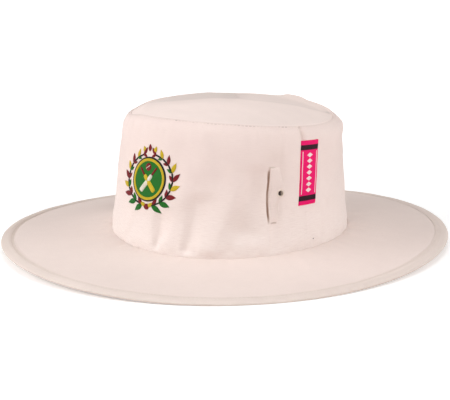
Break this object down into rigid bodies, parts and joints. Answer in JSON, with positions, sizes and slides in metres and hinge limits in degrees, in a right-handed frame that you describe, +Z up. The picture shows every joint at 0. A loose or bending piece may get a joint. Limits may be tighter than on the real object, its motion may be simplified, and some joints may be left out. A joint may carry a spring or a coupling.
{
  "type": "cricket sun hat",
  "caption": "Wide-brimmed cricket sun hat with a soft oval crown, a stitched brim edge, a side pocket slit with an eyelet, a woven side label and an embroidered front badge",
  "frame": {"origin": "middle of the footprint, on the surface the brim rests on", "axes": "+Z up through the crown, -Y to the front of the hat with the badge, +X to the wearer's left side with the label and the pocket"},
  "size_m": [0.3552, 0.38, 0.1154],
  "materials": {
    "crown_cloth": "matt cream cotton twill",
    "tip_cloth": "matt cream cotton twill",
    "brim_cloth": "matt cream cotton twill, stiffened",
    "hem_cloth": "folded cream cotton with a row of stitches",
    "welt_cloth": "pressed cream cotton strip",
    "eyelet_enamel": "cream enamel",
    "label_weave": "pink woven label with near-black end bands and small cream lozenges",
    "badge_thread": "green, maroon, gold and cream embroidery thread"
  },
  "bodies": {
    "root": {"crown_front": "crown_cloth", "crown_back": "crown_cloth", "crown_top": "tip_cloth", "brim": "brim_cloth", "brim_hem": "hem_cloth", "pocket_welt": "welt_cloth", "eyelet": "eyelet_enamel", "side_label": "label_weave", "front_badge": "badge_thread"}
  },
  "joints": []
}
